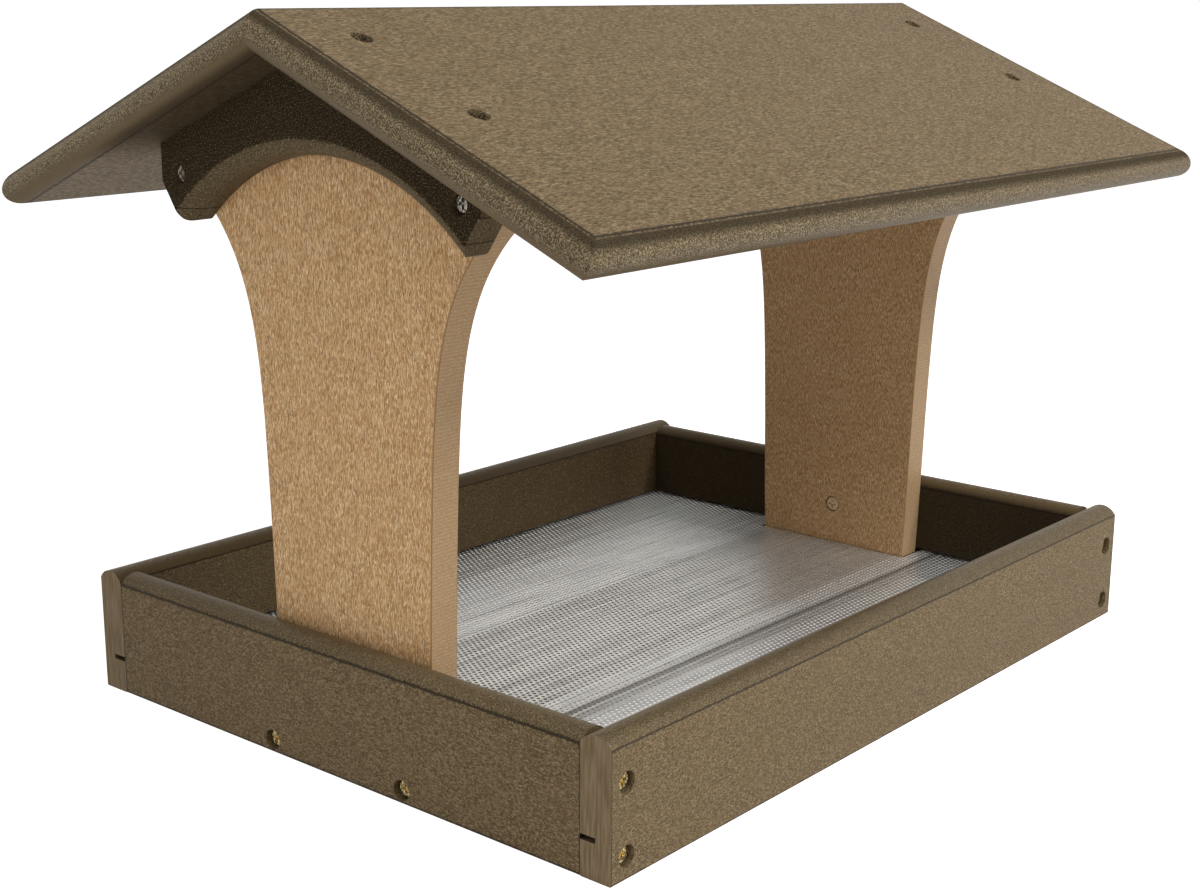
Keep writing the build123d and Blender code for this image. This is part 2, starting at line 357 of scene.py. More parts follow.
def pressed_flecks_group():
    """Pressed Flecks: the grain of mixed plastic drawn out one way, single flecks, and broad mottling.

    The grain is a noise of the board point divided by the fleck's length and width. Single flecks are the
    peaks of two more such noises.
    """
    graph, given, result = new_group(
        "Pressed Flecks",
        {"Board Point": Vector(), "Length": 0.003, "Width": 0.0006},
        {"Grain": float, "Pale": float, "Dark": float, "Mottle": float, "Relief": float},
    )
    size = graph.join(given["Length"], given["Width"], given["Width"])
    stretched = graph.vector("DIVIDE", given["Board Point"], size)
    coarse = graph.noise(stretched, GRAIN)
    graph.feed(result["Grain"], graph.ramp(coarse, GRAIN.low, GRAIN.high))
    graph.feed(result["Pale"], graph.spots(stretched, PALE_FLECKS))
    graph.feed(result["Dark"], graph.spots(stretched, DARK_FLECKS))
    graph.feed(result["Mottle"], graph.clouds(given["Board Point"], PATCHES))
    graph.feed(result["Relief"], coarse)
    return graph.tree


def cut_speckle_group():
    """Cut Speckle: crumbs that a cutter opens in the board, the same size each way, and its chatter.

    The crumbs are two noises of the board point divided by the crumb's size. The chatter is a sine of the
    place along the board, its phase wandering with a noise.
    """
    graph, given, result = new_group(
        "Cut Speckle",
        {"Board Point": Vector(), "Crumb": 0.0007, "Chatter": 0.0016},
        {"Grain": float, "Glint": float, "Relief": float, "Chatter": float},
    )
    size = graph.join(given["Crumb"], given["Crumb"], given["Crumb"])
    crumbs = graph.vector("DIVIDE", given["Board Point"], size)
    coarse = graph.noise(crumbs, CRUMBS)
    graph.feed(result["Grain"], graph.ramp(coarse, CRUMBS.low, CRUMBS.high))
    graph.feed(result["Glint"], graph.spots(crumbs, GLINTS))
    graph.feed(result["Relief"], coarse)
    along = graph.split(given["Board Point"])[0]
    drift = graph.times(graph.noise(given["Board Point"], CUTTER_DRIFT), math.tau)
    phase = graph.times(graph.math("DIVIDE", along, given["Chatter"]), math.tau)
    wave = graph.math("SINE", graph.math("ADD", phase, drift))
    graph.feed(result["Chatter"], graph.ramp(wave, -1.0, 1.0))
    return graph.tree


def rim_line_group():
    """Rim Line: a thin ragged line where a board's flat face meets its worked edges.

    The line lies where the point's least distance to the four sides of the flat face is under a width that
    wanders with a noise.
    """
    graph, given, result = new_group(
        "Rim Line",
        {"Board Point": Vector(), "Low Corner": Vector(), "High Corner": Vector(), "Width": 0.001},
        {"Line": float},
    )
    point = graph.split(given["Board Point"])
    low = graph.split(given["Low Corner"])
    high = graph.split(given["High Corner"])
    gaps = []
    for place in (0, 1):
        gaps.append(graph.math("SUBTRACT", point[place], low[place]))
        gaps.append(graph.math("SUBTRACT", high[place], point[place]))
    nearest = graph.math("ABSOLUTE", graph.math("MINIMUM", graph.math("MINIMUM", gaps[0], gaps[1]),
                                                graph.math("MINIMUM", gaps[2], gaps[3])))
    ragged = graph.noise(given["Board Point"], RAGGED_RIM)
    width_share = graph.step(ragged, RAGGED_RIM.low, RAGGED_RIM.high, *RIM_WIDTH_SHARES)
    reach = graph.times(given["Width"], width_share)
    graph.feed(result["Line"], graph.step(nearest, reach, graph.times(reach, RIM_CORE_SHARE)))
    return graph.tree


def shared_groups():
    """The node groups that the board finishes share, built once."""
    makers = {
        "Board Axes": board_axes_group,
        "Pressed Flecks": pressed_flecks_group,
        "Cut Speckle": cut_speckle_group,
        "Rim Line": rim_line_group,
    }
    for name, maker in makers.items():
        if name not in bpy.data.node_groups:
            maker()
    return {name: bpy.data.node_groups[name] for name in makers}


def node_material(name):
    """A material with an empty node sheet, and the sheet's graph."""
    material = bpy.data.materials.new(name)
    material.use_nodes = True
    return material, Graph(material.node_tree)


def new_material(name):
    """A material whose output shows a Principled shader."""
    material, graph = node_material(name)
    shader = graph.node("ShaderNodeBsdfPrincipled")
    graph.show(shader)
    return material, graph, shader


def linked_object(context, name, data):
    """A new object with this data, in the scene."""
    made = bpy.data.objects.new(name, data)
    context.scene.collection.objects.link(made)
    return made


def finish_node(name, material):
    """Puts the finish in every material slot of a piece of the frame."""
    for slot in frame["nodes"][name].material_slots:
        slot.material = material


def points_of(name):
    """All the corners of a piece of the frame, as an array of rows."""
    mesh = frame["nodes"][name].data
    points = np.empty(len(mesh.vertices) * 3)
    mesh.vertices.foreach_get("co", points)
    return points.reshape(-1, 3)


def widest_face_way(name):
    """The direction that most of a board's surface looks in: the normal of its largest triangle."""
    mesh = frame["nodes"][name].data
    areas = np.empty(len(mesh.polygons))
    mesh.polygons.foreach_get("area", areas)
    normals = np.empty(len(mesh.polygons) * 3)
    mesh.polygons.foreach_get("normal", normals)
    way = Vector(normals.reshape(-1, 3)[areas.argmax()])
    return way if way.z > 0 else -way


def board_lay(name):
    """The fleck direction and the face direction of a board."""
    board = BOARDS[name]
    return board.flecks, board.face or widest_face_way(name)


def flat_face_corners(name):
    """The low and high corner of a board's flat face, in the board's own axes.

    They are the least and the greatest of the places along and across the flecks, over the corners that lie
    on the outermost plane of the board.
    """
    fleck_way, face_way = board_lay(name)
    sideways = face_way.cross(fleck_way)
    axes = np.array([fleck_way, sideways, face_way])
    places = points_of(name) @ axes.T
    outer = places[np.abs(places[:, 2]) > np.abs(places[:, 2]).max() - FACE_SKIN]
    return Vector(outer.min(axis=0)), Vector(outer.max(axis=0))


def moulded_colour(graph, flecks, colours):
    """The moulded face's colour: its grain, single flecks over it, and broad patches over both."""
    grain = graph.mix_value(colours.grain, MIDDLE, flecks["Grain"])
    face = graph.three_colours(grain, colours.dark, colours.face, colours.pale)
    for fleck, colour in (("Dark", colours.dark), ("Pale", colours.pale)):
        face = graph.mix_colour(graph.times(flecks[fleck], colours.fleck_strength), face, colour)
    return graph.mix_colour(graph.times(flecks["Mottle"], colours.mottle), face, colours.mottle_colour)


def cut_colour(graph, axes, crumbs, board, colours):
    """The colour of routed edges and milled faces, with masks of the painted shade on the edge's brow and of
    the grime and painted shade on the faces.

    It is speckled with crumbs, less so where the cut is smooth. The far side of an edge is smooth and near
    the face's lighter colour, partly a painted highlight. The brow, on the side towards the face, is dark
    with painted shade, and a milled face is dark with grime and painted shade.
    """
    # The far side of a routed edge takes the face's lighter colour: partly a smoother cut, partly a painted
    # highlight
    far = graph.times(graph.step(axes["Turn"], *FAR_TURN, 0.0, FAR_SHARE), axes["Routed"])
    smooth = graph.math("MAXIMUM", far, graph.times(axes["Routed"], board.smooth))
    coarse = graph.other(smooth)
    speckle = graph.mix_value(coarse, MIDDLE, crumbs["Grain"])
    cut = graph.three_colours(speckle, colours.routed_dark, colours.routed, colours.routed_pale)
    # A milled face is darkened by dirt and painted shade
    dirt = graph.times(graph.other(axes["Routed"]), board.dirt)
    cut = graph.mix_colour(dirt, cut, colours.routed_dark)
    glint = graph.times(crumbs["Glint"], graph.mix_value(dirt, coarse, DIRT_AND_SHADE_GLINT_SHARE))
    cut = graph.mix_colour(glint, cut, colours.routed_pale)
    cut = graph.mix_colour(far, cut, colours.face)
    # Painted shade darkens the brow of a routed edge, next to the face
    brow = graph.times(graph.step(axes["Turn"], *BROW_TURN, 0.0, board.brow), axes["Routed"])
    cut = graph.mix_colour(brow, cut, colours.routed_dark)
    cut = graph.mix_colour(graph.times(crumbs["Chatter"], colours.chatter), cut, colours.dark)
    return cut, brow, dirt


def board_finish(name, colours):
    """The finish of one board: grained moulded faces, speckled routed edges, plain sawn ends."""
    groups = shared_groups()
    board = BOARDS[name]
    fleck_way, face_way = board_lay(name)
    low, high = flat_face_corners(name)
    material, graph, shader = new_material(f"{name}_finish")
    place = graph.place()
    normal = graph.node("ShaderNodeNewGeometry").outputs["Normal"]
    axes = graph.use(groups["Board Axes"], Point=place, Normal=normal, Fleck_Way=fleck_way,
                     Face_Way=face_way, Sawn_Ends=board.sawn)
    flecks = graph.use(groups["Pressed Flecks"], Board_Point=axes["Board Point"],
                       Length=colours.fleck_length * board.stretch, Width=colours.fleck_width)
    crumbs = graph.use(groups["Cut Speckle"], Board_Point=axes["Board Point"], Crumb=colours.crumb)
    rim = graph.use(groups["Rim Line"], Board_Point=axes["Board Point"], Low_Corner=low, High_Corner=high,
                    Width=colours.rim_width * board.rim)

    worked = graph.math("MAXIMUM", axes["Routed"], board.milled)
    cut, brow, dirt = cut_colour(graph, axes, crumbs, board, colours)
    skin = graph.mix_colour(worked, moulded_colour(graph, flecks, colours), cut)
    saw_marks = graph.clouds(graph.vector("MULTIPLY", axes["Board Point"], SAW_MARKS), SAW_STROKES)
    skin = graph.mix_colour(axes["Sawn"], skin, graph.mix_colour(saw_marks, colours.sawn, colours.face))
    # Painted shade darkens the inner face, and the roof's underside up at the ridge
    inward = graph.step(axes["Turn"], *INWARD_TURN)
    at_ridge = graph.times(graph.step(graph.split(place)[2], *RIDGE_SHADE), board.shade)
    dim = graph.times(inward, graph.math("MAXIMUM", at_ridge, board.inner))
    skin = graph.mix_colour(dim, skin, colours.routed_dark)
    line = graph.mix_value(board.eased, rim["Line"], axes["Eased"])
    lined = graph.times(graph.other(axes["Sawn"]), colours.rim_strength)
    skin = graph.mix_colour(graph.times(line, lined), skin, colours.routed_dark)
    graph.feed(shader.inputs["Base Color"], skin)

    rough = graph.mix_value(flecks["Grain"], colours.dark_grain_roughness, colours.pale_grain_roughness)
    rough = graph.mix_value(worked, rough, colours.routed_roughness)
    dull = graph.math("MAXIMUM", dim, graph.math("MAXIMUM", brow, dirt))
    graph.feed(shader.inputs["Roughness"], graph.mix_value(dull, rough, colours.dark_roughness))
    face_relief = graph.bump(flecks["Relief"], colours.relief_depth, colours.face_bump)
    cut_relief = graph.bump(crumbs["Relief"], colours.relief_depth, colours.routed_bump)
    relief = graph.vector("NORMALIZE", graph.mix("VECTOR", worked, face_relief, cut_relief))
    graph.feed(shader.inputs["Normal"], relief)
    graph.feed(shader.inputs["Specular IOR Level"], board.gloss)
    graph.feed(shader.inputs["Specular Tint"], colours.sheen)
    return material


def colour_property(name, description, default):
    """A colour setting with its name, description and linear default."""
    return FloatVectorProperty(name=name, description=description, subtype="COLOR", size=4, min=0.0, max=1.0,
                               default=(*default, 1.0))


def share_property(name, description, default):
    """A setting that is a share, from nothing to one."""
    return FloatProperty(name=name, description=description, subtype="FACTOR", default=default, min=0.0,
                         max=1.0)


def length_property(name, description, default):
    """A setting that is a length in metres."""
    return FloatProperty(name=name, description=description, subtype="DISTANCE", unit="LENGTH",
                         default=default, min=0.0, precision=5)


def power_property(name, description, default):
    """A lamp's power in watts."""
    return FloatProperty(name=name, description=description, subtype="POWER", default=default, min=0.0)


class BoardColours:
    """Settings that the brown and the tan board have in common."""

    grain: share_property("Grain", "How strongly the grain colours the face", 1.0)
    fleck_strength: share_property("Fleck Strength", "How strongly single flecks show", 0.9)
    mottle: share_property("Mottling", "How strongly the broad patches colour the face", 0.3)
    crumb: length_property("Crumb Size", "Size of the crumbs on a routed edge", 0.6 * MILLIMETRE)
    rim_width: length_property("Rim Line", "Width of the ragged line round a flat face", 0.9 * MILLIMETRE)
    rim_strength: share_property("Rim Strength", "How dark the ragged line is", 1.0)
    pale_grain_roughness: share_property("Pale Grain Roughness", "Roughness of the face's pale grain", 0.45)
    dark_grain_roughness: share_property("Dark Grain Roughness", "Roughness of the face's dark grain", 0.55)
    routed_roughness: share_property("Edge Roughness", "Roughness of a routed edge", 0.4)
    dark_roughness: share_property("Dark Roughness", "Roughness of the parts that are dark", 0.9)
    relief_depth: length_property("Relief Depth", "Depth of the board's relief", 0.4 * MILLIMETRE)
    face_bump: share_property("Face Bump", "Strength of the moulded face's relief", 0.4)
    routed_bump: share_property("Edge Bump", "Strength of a routed edge's relief", 0.5)
    sheen: colour_property("Sheen", "Colour of the surface's shine", (1.0, 0.86, 0.62))


class FeederBrownBoard(bpy.types.PropertyGroup, BoardColours):
    """Settings of the brown board."""

    fleck_length: length_property("Fleck Length", "Length of a pressed fleck", 2.6 * MILLIMETRE)
    fleck_width: length_property("Fleck Width", "Width of a pressed fleck", 0.8 * MILLIMETRE)
    chatter: share_property("Chatter", "How much the cutter's marks darken the edges", 0.0)
    face: colour_property("Face", "Colour of the moulded face", (0.132, 0.089, 0.041))
    mottle_colour: colour_property("Patches", "Colour of the broad patches", (0.165, 0.108, 0.048))
    pale: colour_property("Pale Fleck", "Colour of the pale flecks", (0.290, 0.215, 0.120))
    dark: colour_property("Dark Fleck", "Colour of the dark flecks", (0.050, 0.032, 0.014))
    routed: colour_property("Edge", "Colour of the routed edges", (0.090, 0.062, 0.030))
    routed_pale: colour_property("Edge Pale", "Colour of the pale crumbs", (0.330, 0.260, 0.155))
    routed_dark: colour_property("Edge Dark", "Colour of the dark crumbs", (0.022, 0.015, 0.008))
    sawn: colour_property("Sawn End", "Colour of the sawn ends", (0.240, 0.172, 0.100))


class FeederTanBoard(bpy.types.PropertyGroup, BoardColours):
    """Settings of the tan board."""

    fleck_length: length_property("Fleck Length", "Length of a pressed fleck", 2.4 * MILLIMETRE)
    fleck_width: length_property("Fleck Width", "Width of a pressed fleck", 0.4 * MILLIMETRE)
    chatter: share_property("Chatter", "How much the cutter's marks darken the edges", 0.25)
    face: colour_property("Face", "Colour of the moulded face", (0.620, 0.338, 0.135))
    mottle_colour: colour_property("Patches", "Colour of the broad patches", (0.560, 0.315, 0.135))
    pale: colour_property("Pale Fleck", "Colour of the pale flecks", (1.000, 0.800, 0.500))
    dark: colour_property("Dark Fleck", "Colour of the dark flecks", (0.235, 0.112, 0.040))
    routed: colour_property("Edge", "Colour of the routed edges", (0.560, 0.370, 0.200))
    routed_pale: colour_property("Edge Pale", "Colour of the pale crumbs", (0.720, 0.520, 0.320))
    routed_dark: colour_property("Edge Dark", "Colour of the dark crumbs", (0.300, 0.170, 0.080))
    sawn: colour_property("Sawn End", "Colour of the sawn ends", (0.480, 0.330, 0.210))


class FeederScreen(bpy.types.PropertyGroup):
    """Settings of the perforated seed screen."""

    pitch: length_property("Pitch", "Distance from one hole to the next in a row", 3.16 * MILLIMETRE)
    hole: length_property("Hole", "Diameter of a hole", 2.0 * MILLIMETRE)
    thickness: length_property("Thickness", "Thickness of the sheet", 0.5 * MILLIMETRE)
    waviness: length_property("Waviness", "How far the sheet rises and dips", 0.12 * MILLIMETRE)
    ridge: length_property("Ridge", "Height of the three ridges rolled into the sheet", 0.3 * MILLIMETRE)
    ridge_inset: length_property("Ridge Inset", "Front edge to the first ridge", 89.0 * MILLIMETRE)
    ridge_width: length_property("Ridge Width", "From a ridge's top to its side", 2.0 * MILLIMETRE)
    ridge_gap: length_property("Ridge Gap", "From one ridge to the next", 5.5 * MILLIMETRE)
    ridge_shade: share_property("Ridge Shade", "How dark the sheet is behind the first ridge", 0.65)
    strip_shade: share_property("Strip Shade", "How dark the sheet is in front of it", 0.25)
    metal: colour_property("Metal", "Colour of the sheet", (0.94, 0.97, 1.0))
    worn: colour_property("Dull Metal", "Colour of the sheet where it is dull", (0.50, 0.52, 0.55))
    metallic: share_property("Metal Share", "How much of the sheet's shine is bare metal", 0.9)
    shaded: colour_property("Shaded Metal", "Colour of the sheet at the first ridge", (0.05, 0.05, 0.05))
    roughness: share_property("Roughness", "Roughness of the sheet where it is bright", 0.38)
    worn_roughness: share_property("Dull Roughness", "Roughness of the sheet where it is dull", 0.54)
    streaks: share_property("Streaks", "How strongly the rolled streaks show", 0.85)


class FeederScrews(bpy.types.PropertyGroup):
    """Settings of the screws."""

    yellow: colour_property("Yellow Zinc", "Colour of the tray's screws", (0.95, 0.80, 0.46))
    bright: colour_property("Bright Zinc", "Colour of the roof's and gables' screws", (0.50, 0.47, 0.42))
    painted: colour_property("Painted", "Colour of the uprights' painted screws", (0.80, 0.54, 0.32))
    chipped: colour_property("Chipped", "Colour of the metal under the paint", (0.50, 0.45, 0.38))
    dull_share: share_property("Dull Share", "How much of its colour dull zinc keeps", 0.2)
    roughness: share_property("Roughness", "Roughness of bright zinc", 0.2)
    dull_roughness: share_property("Dull Roughness", "Roughness of dull zinc and of paint", 0.4)
    relief_depth: length_property("Relief Depth", "Depth of the zinc's fine relief", 0.8 * MILLIMETRE)
    bump: share_property("Bump", "Strength of the zinc's fine relief", 0.8)


class FeederStage(bpy.types.PropertyGroup):
    """Settings of the floor, the light and the camera."""

    camera_place: FloatVectorProperty(
        name="Camera Place", description="Where the camera stands", subtype="TRANSLATION", unit="LENGTH",
        default=(-0.71546, -0.58288, 0.33844))
    azimuth: FloatProperty(
        name="Azimuth", description="Turn of the camera about the vertical", subtype="ANGLE",
        default=math.radians(-49.605))
    elevation: FloatProperty(
        name="Elevation", description="How far the camera looks down", subtype="ANGLE",
        default=math.radians(14.004))
    roll: FloatProperty(
        name="Roll", description="Turn of the camera about its own axis", subtype="ANGLE",
        default=math.radians(0.236))
    lens: FloatProperty(
        name="Focal Length", description="Focal length of the camera", subtype="DISTANCE_CAMERA",
        default=55.59)
    key_power: power_property("Key Light", "Power of the high light in front", 32.0)
    top_power: power_property("Top Light", "Power of the light above and to the left", 10.0)
    side_power: power_property("Side Light", "Power of the light at the near corner", 5.5)
    left_power: power_property("Left Light", "Power of the low light on the left", 6.0)
    low_power: power_property("Low Light", "Power of the low light in front", 4.0)
    lamp_width: length_property("Lamp Width", "Width of each square light", 1.0)
    overhead: share_property("Overhead", "Strength of the surrounding light straight above", 0.08)
    horizon: share_property("Horizon", "Strength of the surrounding light at the height of the eye", 0.3)
    shine: colour_property("Shine", "Colour of the surroundings in reflections", (1.0, 0.93, 0.84))
    floor: colour_property("Floor", "Colour of the floor", (0.8, 0.8, 0.8))


def slow_wave(places, seed, length):
    """A smooth wander with a mean of nothing: the mean of several sines of random phase.

    Their wavelengths run from the given length down to a third of it.
    """
    count = 5
    shortest_share = 0.33
    random = np.random.default_rng(seed)
    phases = random.uniform(0, math.tau, count)
    lengths = length * random.uniform(shortest_share, 1.0, count)
    return np.sin(math.tau * places[..., None] / lengths + phases).mean(axis=-1)


class HoleRows:
    """A sheet of staggered round holes, laid out in half cells.

    The sheet's box is cut into rows as high as the pitch times the sine of 60 degrees, and each row into half
    cells half a pitch wide. A hole takes two half cells side by side, and every other row is shifted by one,
    so that each hole has six equal neighbours. Half cells left over at an edge stay plain.
    """

    # A hole's corners and where the first one lies, and the angle that lines of holes make with the rows
    corners = 6
    first_corner = math.radians(-150)
    slant = math.radians(60)

    def __init__(self, low, high, pitch, hole):
        size = high - low
        self.low = low
        self.columns = 2 * round(size.x / pitch)
        self.rows = round(size.y / (pitch * math.sin(self.slant)))
        self.half_pitch = size.x / self.columns
        self.row_height = size.y / self.rows
        # A polygon's corners are set out so far that its area is the round hole's area
        turn = math.tau / self.corners
        self.hole_reach = hole / 2 * math.sqrt(turn / math.sin(turn))
        self.x, self.y = np.meshgrid(
            low.x + (np.arange(self.columns) + 0.5) * self.half_pitch,
            low.y + (np.arange(self.rows) + 0.5) * self.row_height, indexing="ij")

    def fill(self, inside):
        """Sorts the half cells that are inside into the left halves of holes, and plain ones."""
        column, row = np.indices(inside.shape)
        holed = np.zeros_like(inside)
        holed[:-1] = inside[:-1] & inside[1:] & ((column + row)[:-1] % 2 == 0)
        covered = holed.copy()
        covered[1:] |= holed[:-1]
        return holed, inside & ~covered

    def points(self, holed, thickness):
        """All points: the half cells' corners and then the holes' corners, first above and then below.

        A hole's corners are its middle plus its reach times the cosine and the sine of six even angles.
        """
        grid = np.stack(np.meshgrid(
            self.low.x + np.arange(self.columns + 1) * self.half_pitch,
            self.low.y + np.arange(self.rows + 1) * self.row_height, indexing="ij"), axis=-1)
        column, row = np.nonzero(holed)
        middle = np.stack([self.low.x + (column + 1) * self.half_pitch,
                           self.low.y + (row + 0.5) * self.row_height], axis=-1)
        angle = math.tau * (np.arange(self.corners) / self.corners) + self.first_corner
        rim = middle[:, None] + self.hole_reach * np.stack([np.cos(angle), np.sin(angle)], axis=-1)
        flat = np.concatenate([grid.reshape(-1, 2), rim.reshape(-1, 2)])
        levels = [np.column_stack([flat, np.full(len(flat), side * thickness / 2)]) for side in (1, -1)]
        return np.concatenate(levels)

    def faces(self, holed, plain, inside):
        """The four-cornered faces: round the holes, down their walls, plain half cells and the rim."""
        stride = self.rows + 1
        corner = np.arange((self.columns + 1) * stride).reshape(-1, stride)
        column, row = np.nonzero(holed)
        outer = np.stack([corner[column + right, row + up] for right, up in
                          ((0, 0), (1, 0), (2, 0), (2, 1), (1, 1), (0, 1))], axis=-1)
        inner = corner.size + np.arange(len(column) * self.corners).reshape(-1, self.corners)
        below = corner.size + inner.size
        around = np.stack([outer, np.roll(outer, -1, axis=1), np.roll(inner, -1, axis=1), inner], axis=-1)
        walls = np.stack([inner, np.roll(inner, -1, axis=1), np.roll(inner, -1, axis=1) + below,
                          inner + below], axis=-1)
        column, row = np.nonzero(plain)
        flat = np.stack([corner[column, row], corner[column + 1, row], corner[column + 1, row + 1],
                         corner[column, row + 1]], axis=-1)
        above = np.concatenate([around.reshape(-1, 4), flat])
        parts = [above, above[:, ::-1] + below, walls.reshape(-1, 4)]
        # The rim stands where a half cell has no neighbour. Each row of numbers is the way to the neighbour,
        # and the first and last corner of the edge between
        padded = np.pad(inside, 1)
        for way, first, last in (((0, -1), (0, 0), (1, 0)), ((1, 0), (1, 0), (1, 1)),
                                 ((0, 1), (1, 1), (0, 1)), ((-1, 0), (0, 1), (0, 0))):
            open_side = inside & ~padded[1 + way[0]:padded.shape[0] - 1 + way[0],
                                         1 + way[1]:padded.shape[1] - 1 + way[1]]
            column, row = np.nonzero(open_side)
            start = corner[column + first[0], row + first[1]]
            end = corner[column + last[0], row + last[1]]
            parts.append(np.stack([start, start + below, end + below, end], axis=-1))
        return np.concatenate(parts)


def mesh_of_used_points(name, points, faces):
    """A mesh of these faces, without the points that no face uses."""
    used, places = np.unique(faces, return_inverse=True)
    mesh = bpy.data.meshes.new(name)
    mesh.from_pydata(points[used].tolist(), [], places.reshape(faces.shape).tolist())
    return mesh


class FEEDER_OT_seed_screen(bpy.types.Operator):
    """Build the perforated seed screen, notched round the feet of the uprights"""

    bl_idname = "feeder.seed_screen"
    bl_label = "Perforated Seed Screen"

    pieces = 3
    ridge_count = 3

    # How long the sheet's slow waves are along it, across it and on the slant
    wave_lengths = (0.3, 0.06, 0.12)

    # How fine the streaks are along the sheet, across it and up, and how much of them the clouds break up
    streak_scale = Vector((7.0, 330.0, 7.0))
    cloud_share = 0.5

    # How far the dark band reaches from its middle, in widths of a ridge
    band_reach = 2.0

    # The foot of an upright is measured this far up from its end
    foot_height = 1.0 * MILLIMETRE

    def execute(self, context):
        settings = context.scene.feeder_screen
        low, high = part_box("seed_screen")
        sheet = HoleRows(low, high, settings.pitch, settings.hole)
        inside = ~self.at_feet(sheet, settings)
        holed, plain = sheet.fill(inside)
        finish = self.sheet_finish(settings, low.y + settings.ridge_inset)
        # The sheet is cut across into equal pieces, and both halves of a hole go to the same one
        piece_of_cell = np.indices(inside.shape)[0] * self.pieces // sheet.columns
        piece_of_cell[1:][holed[:-1]] = piece_of_cell[:-1][holed[:-1]]
        for piece in range(self.pieces):
            own = piece_of_cell == piece
            points = sheet.points(holed & own, settings.thickness)
            points[:, 2] += (low.z + high.z) / 2 + settings.waviness * self.waves(points)
            points[:, 2] += settings.ridge * self.ridges(points[:, 1] - low.y, settings)
            faces = sheet.faces(holed & own, plain & own, inside & own)
            name = f"screen_sheet_{piece + 1}"
            mesh = mesh_of_used_points(name, points, faces)
            mesh.materials.append(finish)
            part = linked_object(context, name, mesh)
            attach(part, BODY)
            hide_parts("seed_screen")
        return {"FINISHED"}

    def at_feet(self, sheet, settings):
        """Which half cells would touch the foot of an upright."""
        points = points_of("upright_right")
        foot = points[points[:, 2] < points[:, 2].min() + self.foot_height]
        inner_face = points[:, 0].min()
        gap = settings.thickness
        beside = np.abs(sheet.x) + sheet.half_pitch / 2 > inner_face - gap
        within = np.abs(sheet.y) - sheet.row_height / 2 < np.abs(foot[:, 1]).max() + gap
        return beside & within

    def waves(self, points):
        """The sheet's rise and dip: the sum of a slow wave along it, one across it and a slanted one."""
        x, y = points[:, 0], points[:, 1]
        along_waves = zip((x, y, x + 2 * y), self.wave_lengths)
        return sum(slow_wave(places, seed, length) for seed, (places, length) in enumerate(along_waves, 1))

    def ridges(self, from_edge, settings):
        """Low ridges rolled into the sheet along it: the sum of a bell curve of the distance from each."""
        tops = settings.ridge_inset + settings.ridge_gap * np.arange(self.ridge_count)
        return np.exp(-(((from_edge[:, None] - tops) / settings.ridge_width) ** 2)).sum(axis=1)

    def sheet_finish(self, settings, ridge_place):
        """Rolled aluminium: a soft shine, dull streaks and clouds, and painted shade by the first ridge."""
        material, graph, shader = new_material("rolled_aluminium")
        place = graph.place()
        streak = graph.clouds(graph.vector("MULTIPLY", place, self.streak_scale), SHEET_STREAKS)
        broken = graph.times(streak, graph.clouds(place, SHEET_CLOUDS))
        worn = graph.times(graph.mix_value(self.cloud_share, streak, broken), settings.streaks)
        shade = graph.mix_colour(worn, settings.metal, settings.worn)
        # Painted shade: a dark band behind the first ridge and a darker strip in front of it
        across = graph.split(place)[1]
        wide = self.band_reach * settings.ridge_width
        behind = graph.math("ABSOLUTE", graph.math("SUBTRACT", across, ridge_place + wide))
        band = graph.step(behind, wide, 0.0, 0.0, settings.ridge_shade)
        strip = graph.step(across, ridge_place + wide, ridge_place, 0.0, settings.strip_shade)
        shade = graph.mix_colour(graph.math("MAXIMUM", band, strip), shade, settings.shaded)
        rough = graph.mix_value(worn, settings.roughness, settings.worn_roughness)
        graph.feed_all(shader, {"Base Color": shade, "Metallic": settings.metallic, "Roughness": rough})
        return material


class FEEDER_OT_brown_boards(bpy.types.Operator):
    """Finish the tray, the gable plates, the roof and the mounting board in brown board"""

    bl_idname = "feeder.brown_boards"
    bl_label = "Brown Boards"

    def execute(self, context):
        for name in BOARDS:
            if name not in UPRIGHTS:
                finish_node(name, board_finish(name, context.scene.feeder_brown))
        return {"FINISHED"}


class FEEDER_OT_tan_boards(bpy.types.Operator):
    """Finish the two uprights in tan board"""

    bl_idname = "feeder.tan_boards"
    bl_label = "Tan Uprights"

    def execute(self, context):
        for name in UPRIGHTS:
            finish_node(name, board_finish(name, context.scene.feeder_tan))
        return {"FINISHED"}


